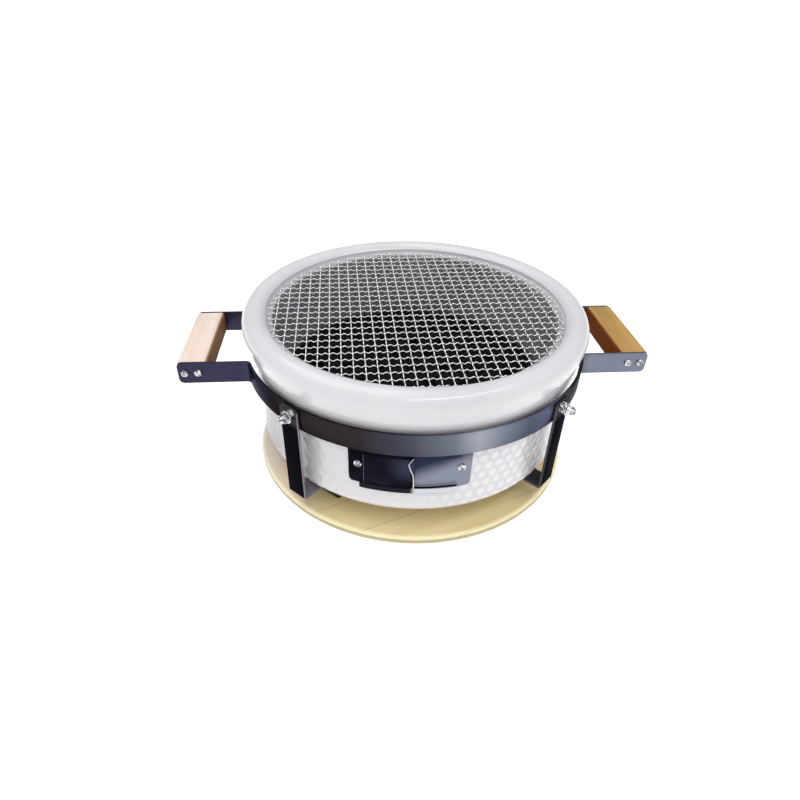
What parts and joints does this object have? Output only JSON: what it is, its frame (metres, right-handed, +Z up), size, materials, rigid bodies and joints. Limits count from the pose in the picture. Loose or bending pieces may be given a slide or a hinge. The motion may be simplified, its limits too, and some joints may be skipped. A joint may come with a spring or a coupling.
{
  "type": "table-top charcoal brazier",
  "caption": "Round table-top charcoal brazier: a glazed ceramic fire bowl with a wire cooking net and a sliding air vent, in a steel cradle with wooden handles on a round wooden board.",
  "frame": {"origin": "centre of the board's underside, which rests on the table", "axes": "+Z up, X along the line through both wooden handles, -Y towards the air vent and the cook"},
  "size_m": [0.476, 0.3556, 0.177],
  "materials": {
    "glazed_ceramic": "white gloss glaze, dimpled below the band",
    "strap_steel": "black satin paint",
    "band_steel": "dark satin paint",
    "vent_steel": "near-black satin paint",
    "zinc_fastener": "bright zinc plate",
    "net_wire": "bright drawn stainless wire",
    "grate_iron": "sooty matt black",
    "board_wood": "oiled planks glued side by side",
    "handle_wood": "oiled, fine straight grain",
    "foot_rubber": "matt black"
  },
  "bodies": {
    "board": {"base_board": "board_wood"},
    "cradle": {"cradle_strap_upper": "strap_steel", "cradle_strap_lower": "strap_steel", "cross_rivet": "zinc_fastener", "foot_front_right": "foot_rubber", "foot_screw_front_right": "zinc_fastener", "foot_rear_right": "foot_rubber", "foot_screw_rear_right": "zinc_fastener", "foot_rear_left": "foot_rubber", "foot_screw_rear_left": "zinc_fastener", "foot_front_left": "foot_rubber", "foot_screw_front_left": "zinc_fastener", "band_front": "band_steel", "band_rear": "band_steel", "handle_right": "handle_wood", "handle_left": "handle_wood", "handle_screw_left_front_outer": "zinc_fastener", "handle_screw_left_front_inner": "zinc_fastener", "handle_screw_left_rear_outer": "zinc_fastener", "handle_screw_left_rear_inner": "zinc_fastener", "handle_screw_right_front_outer": "zinc_fastener", "handle_screw_right_front_inner": "zinc_fastener", "handle_screw_right_rear_outer": "zinc_fastener", "handle_screw_right_rear_inner": "zinc_fastener", "leg_bolt_front_right": "zinc_fastener", "hex_nut_front_right": "zinc_fastener", "washer_front_right": "zinc_fastener", "cap_nut_front_right": "zinc_fastener", "leg_bolt_rear_right": "zinc_fastener", "hex_nut_rear_right": "zinc_fastener", "washer_rear_right": "zinc_fastener", "cap_nut_rear_right": "zinc_fastener", "leg_bolt_rear_left": "zinc_fastener", "hex_nut_rear_left": "zinc_fastener", "washer_rear_left": "zinc_fastener", "cap_nut_rear_left": "zinc_fastener", "leg_bolt_front_left": "zinc_fastener", "hex_nut_front_left": "zinc_fastener", "washer_front_left": "zinc_fastener", "cap_nut_front_left": "zinc_fastener"},
    "bowl": {"ceramic_base": "glazed_ceramic", "ceramic_ash_wall": "glazed_ceramic", "ceramic_fire_wall": "glazed_ceramic", "ceramic_neck_and_lip": "glazed_ceramic", "vent_frame": "vent_steel", "vent_screw_left": "zinc_fastener", "vent_screw_right": "zinc_fastener"},
    "door": {"vent_door": "vent_steel"},
    "grate": {"charcoal_grate": "grate_iron"},
    "net": {"cooking_net": "net_wire"}
  },
  "joints": [
    {"name": "cradle_lift", "type": "slide", "parent": "board", "child": "cradle", "axis": [0, 0, 1], "range_m": [0, 0.25]},
    {"name": "bowl_lift", "type": "slide", "parent": "cradle", "child": "bowl", "axis": [0, 0, 1], "range_m": [0, 0.2]},
    {"name": "vent_slide", "type": "hinge", "parent": "bowl", "child": "door", "pos_m": [0, 0, 0.087], "axis": [0, 0, 1], "range_deg": [0, 12.8]},
    {"name": "grate_lift", "type": "slide", "parent": "bowl", "child": "grate", "axis": [0, 0, 1], "range_m": [0, 0.065]},
    {"name": "net_lift", "type": "slide", "parent": "bowl", "child": "net", "axis": [0, 0, 1], "range_m": [0, 0.15]}
  ]
}
